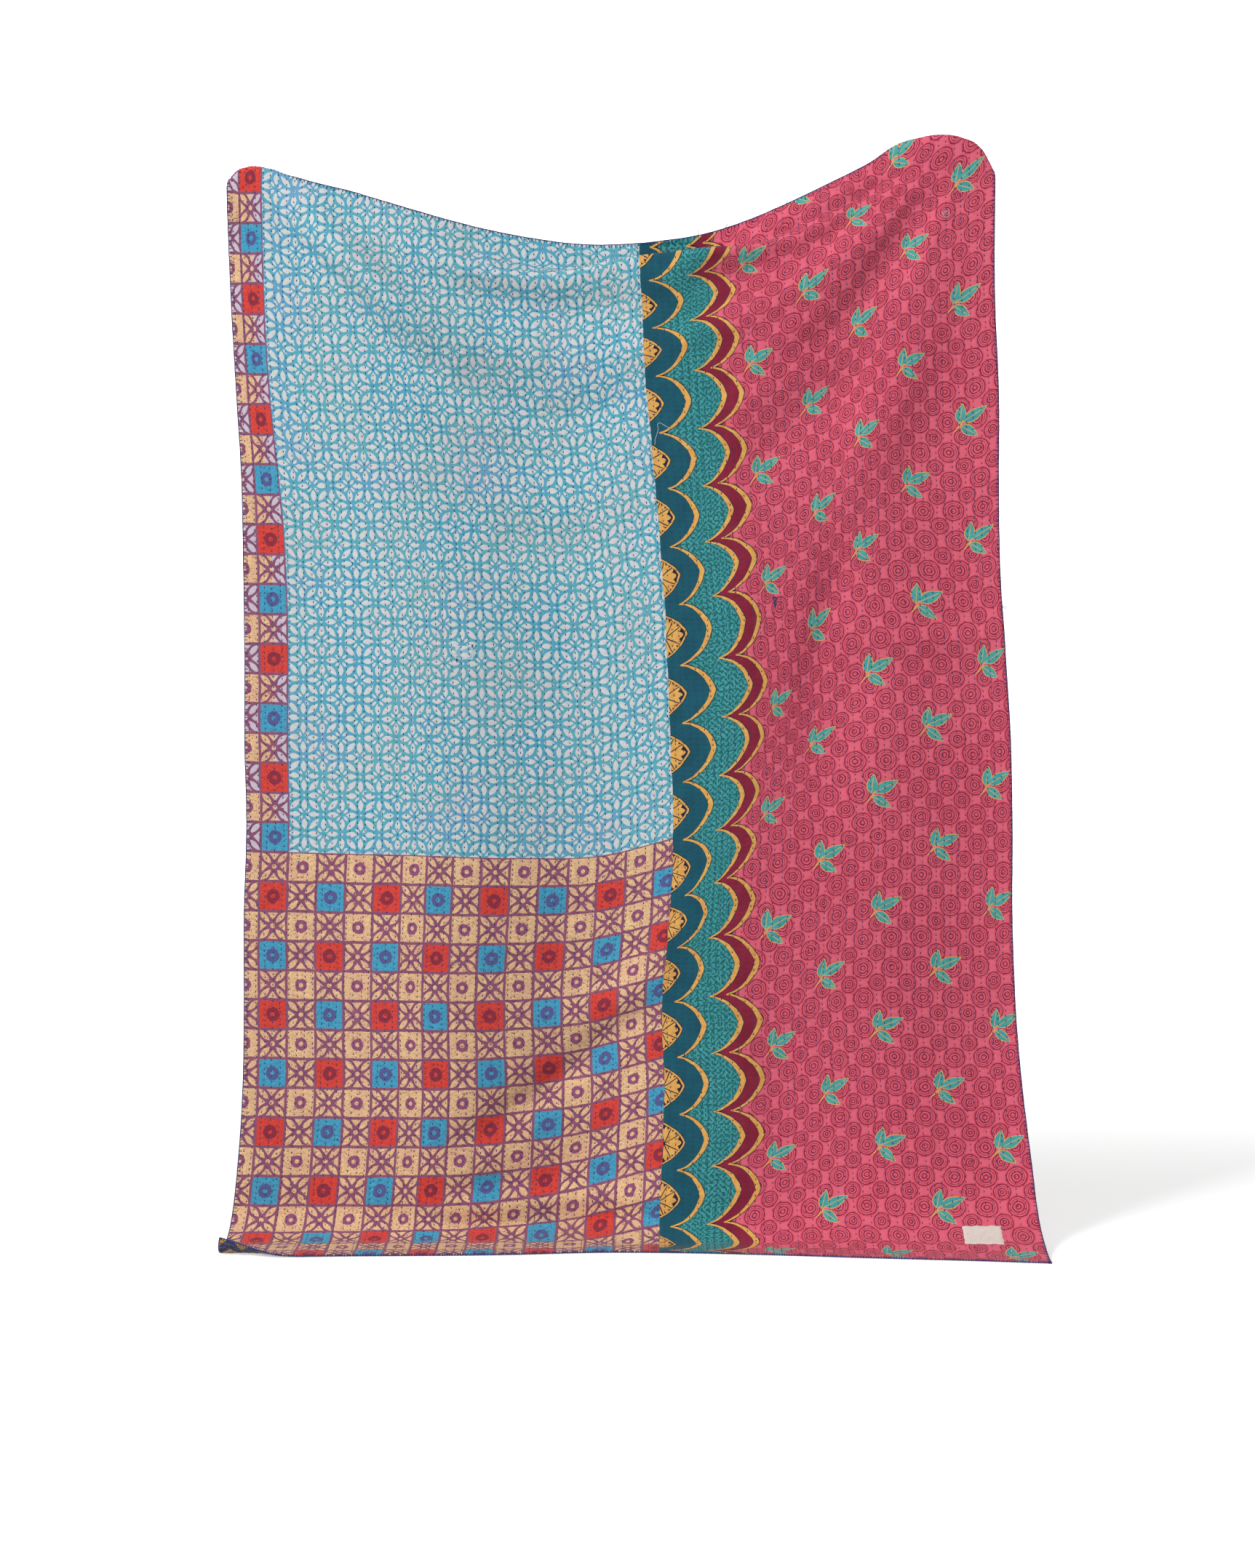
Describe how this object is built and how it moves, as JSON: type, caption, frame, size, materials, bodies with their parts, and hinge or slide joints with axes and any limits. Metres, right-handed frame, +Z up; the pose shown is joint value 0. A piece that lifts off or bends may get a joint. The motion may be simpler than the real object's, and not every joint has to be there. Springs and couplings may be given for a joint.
{
  "type": "kantha throw",
  "caption": "Hand-quilted cotton throw of joined block prints, held up by its top corners, with a swagged top edge and a foot that curls forward on the floor.",
  "frame": {"origin": "lowest point of the swagged top hem, at the middle of the cloth's thickness", "axes": "+Z up, -Y towards the viewer of the printed front, +X to the viewer's right"},
  "size_m": [1.274, 0.2309, 1.7322],
  "materials": {
    "left_cotton": "matte",
    "right_cotton": "matte",
    "backing_cotton": "matte",
    "label_tape": "matte"
  },
  "bodies": {
    "root": {"panel_left": "left_cotton", "panel_right": "right_cotton", "backing": "backing_cotton", "label": "label_tape"}
  },
  "joints": []
}
